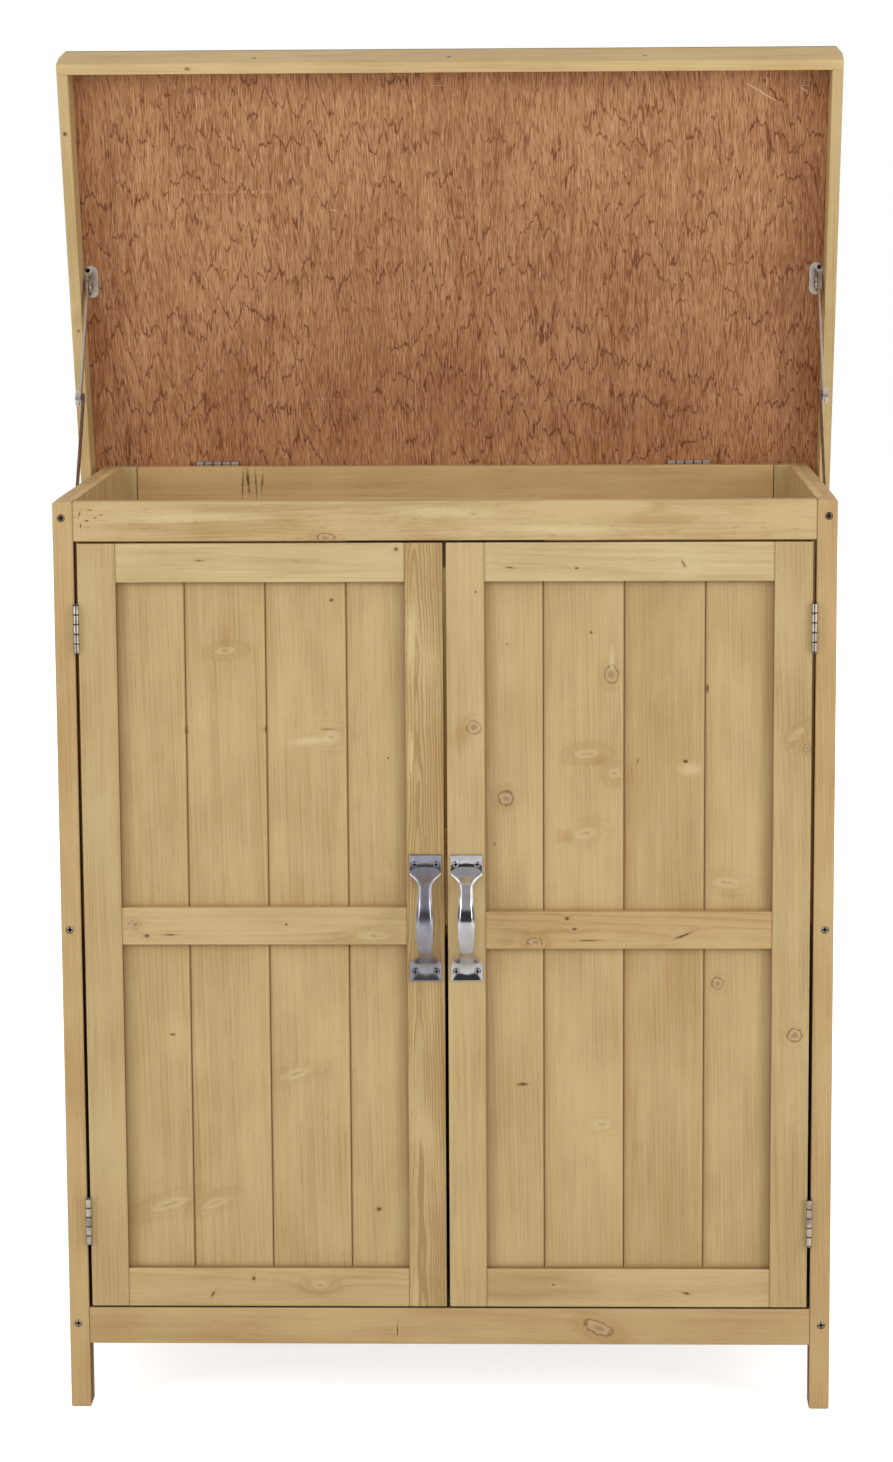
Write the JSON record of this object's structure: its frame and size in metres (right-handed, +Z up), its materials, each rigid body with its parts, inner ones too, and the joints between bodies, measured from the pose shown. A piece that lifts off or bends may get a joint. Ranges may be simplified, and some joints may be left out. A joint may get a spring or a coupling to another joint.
{
  "type": "garden storage cabinet",
  "caption": "Slatted wooden garden cabinet on short feet with framed board doors, bow handles and a rear-hinged lid held open by folding stays.",
  "frame": {"origin": "on the floor, below the middle of the bounding box as the cabinet stands with its lid open", "axes": "+Z up, -Y the side with the doors, +X to the right of someone who faces the doors"},
  "size_m": [0.848, 0.5158, 1.423],
  "materials": {
    "pale_wood": "planed softwood, untreated look, straight grain with small knots",
    "pale_boards": "planed softwood boards with bevelled joints",
    "red_plywood": "thin warm brown plywood, unfinished",
    "roofing_felt": "mineral roofing felt, coarse and matt",
    "chrome_handle": "polished chrome",
    "plated_steel": "bright zinc plating",
    "dark_steel": "dark plated steel",
    "catch_plastic": "off-white moulded plastic"
  },
  "bodies": {
    "cabinet": {"back_boards": "pale_boards", "back_rails": "pale_wood", "back_upright_left": "pale_wood", "back_upright_right": "pale_wood", "floor_bearers": "pale_wood", "floor_panel": "pale_wood", "frame_screws": "dark_steel", "front_bottom_rail": "pale_wood", "front_top_rail": "pale_wood", "front_upright_left": "pale_wood", "front_upright_right": "pale_wood", "left_door_frame_leaves": "plated_steel", "left_door_hinge_pins": "plated_steel", "lid_frame_leaves": "plated_steel", "lid_hinge_pins": "plated_steel", "magnet_catches": "catch_plastic", "right_door_frame_leaves": "plated_steel", "right_door_hinge_pins": "plated_steel", "shelf_battens": "pale_wood", "shelf_panel": "pale_wood", "side_boards_left": "pale_boards", "side_boards_right": "pale_boards", "side_rails_left": "pale_wood", "side_rails_right": "pale_wood", "stay_side_plate_left": "dark_steel", "stay_side_plate_right": "dark_steel", "stop_block": "pale_wood"},
    "lid": {"lid_covering": "roofing_felt", "lid_fasteners": "dark_steel", "lid_front_apron": "pale_wood", "lid_moving_leaves": "plated_steel", "lid_panel": "red_plywood", "lid_side_apron_left": "pale_wood", "lid_side_apron_right": "pale_wood", "stay_lid_bracket_left": "dark_steel", "stay_lid_bracket_right": "dark_steel"},
    "left_door": {"left_door_boards": "pale_boards", "left_door_bottom_rail": "pale_wood", "left_door_free_stile": "pale_wood", "left_door_hinge_stile": "pale_wood", "left_door_middle_rail": "pale_wood", "left_door_moving_leaves": "plated_steel", "left_door_top_rail": "pale_wood", "left_handle": "chrome_handle", "left_handle_screws": "chrome_handle", "left_strike_plate": "plated_steel"},
    "right_door": {"right_door_boards": "pale_boards", "right_door_bottom_rail": "pale_wood", "right_door_free_stile": "pale_wood", "right_door_hinge_stile": "pale_wood", "right_door_middle_rail": "pale_wood", "right_door_moving_leaves": "plated_steel", "right_door_top_rail": "pale_wood", "right_handle": "chrome_handle", "right_handle_screws": "chrome_handle", "right_strike_plate": "plated_steel"},
    "left_lower_arm": {"stay_lower_arm_left": "dark_steel"},
    "right_lower_arm": {"stay_lower_arm_right": "dark_steel"},
    "left_upper_arm": {"stay_upper_arm_left": "dark_steel"},
    "right_upper_arm": {"stay_upper_arm_right": "dark_steel"}
  },
  "joints": [
    {"name": "lid_hinge", "type": "hinge", "parent": "cabinet", "child": "lid", "pos_m": [0, 0.23789, 0.962], "axis": [1, 0, 0], "range_deg": [0, 73.5]},
    {"name": "left_door_hinge", "type": "hinge", "parent": "cabinet", "child": "left_door", "pos_m": [-0.37725, -0.22791, 0.528], "axis": [0, 0, -1], "range_deg": [0, 170]},
    {"name": "right_door_hinge", "type": "hinge", "parent": "cabinet", "child": "right_door", "pos_m": [0.37725, -0.22791, 0.528], "axis": [0, 0, 1], "range_deg": [0, 170]},
    {"name": "left_lower_arm_pivot", "type": "hinge", "parent": "cabinet", "child": "left_lower_arm", "pos_m": [-0.403, -0.00291, 0.946], "axis": [1, 0, 0], "range_deg": [-1, 133.6]},
    {"name": "left_upper_arm_pivot", "type": "hinge", "parent": "lid", "child": "left_upper_arm", "pos_m": [-0.403, 0.16267, 1.16697], "axis": [1, 0, 0], "range_deg": [-122.9, 1]},
    {"name": "right_lower_arm_pivot", "type": "hinge", "parent": "cabinet", "child": "right_lower_arm", "pos_m": [0.403, -0.00291, 0.946], "axis": [1, 0, 0], "range_deg": [-1, 133.6]},
    {"name": "right_upper_arm_pivot", "type": "hinge", "parent": "lid", "child": "right_upper_arm", "pos_m": [0.403, 0.16267, 1.16697], "axis": [1, 0, 0], "range_deg": [-122.9, 1]}
  ],
  "couplings": [
    {"joint": "left_lower_arm_pivot", "follows": "lid_hinge", "ratio": 1.797},
    {"joint": "left_upper_arm_pivot", "follows": "lid_hinge", "ratio": -1.652},
    {"joint": "right_lower_arm_pivot", "follows": "lid_hinge", "ratio": 1.797},
    {"joint": "right_upper_arm_pivot", "follows": "lid_hinge", "ratio": -1.652}
  ]
}
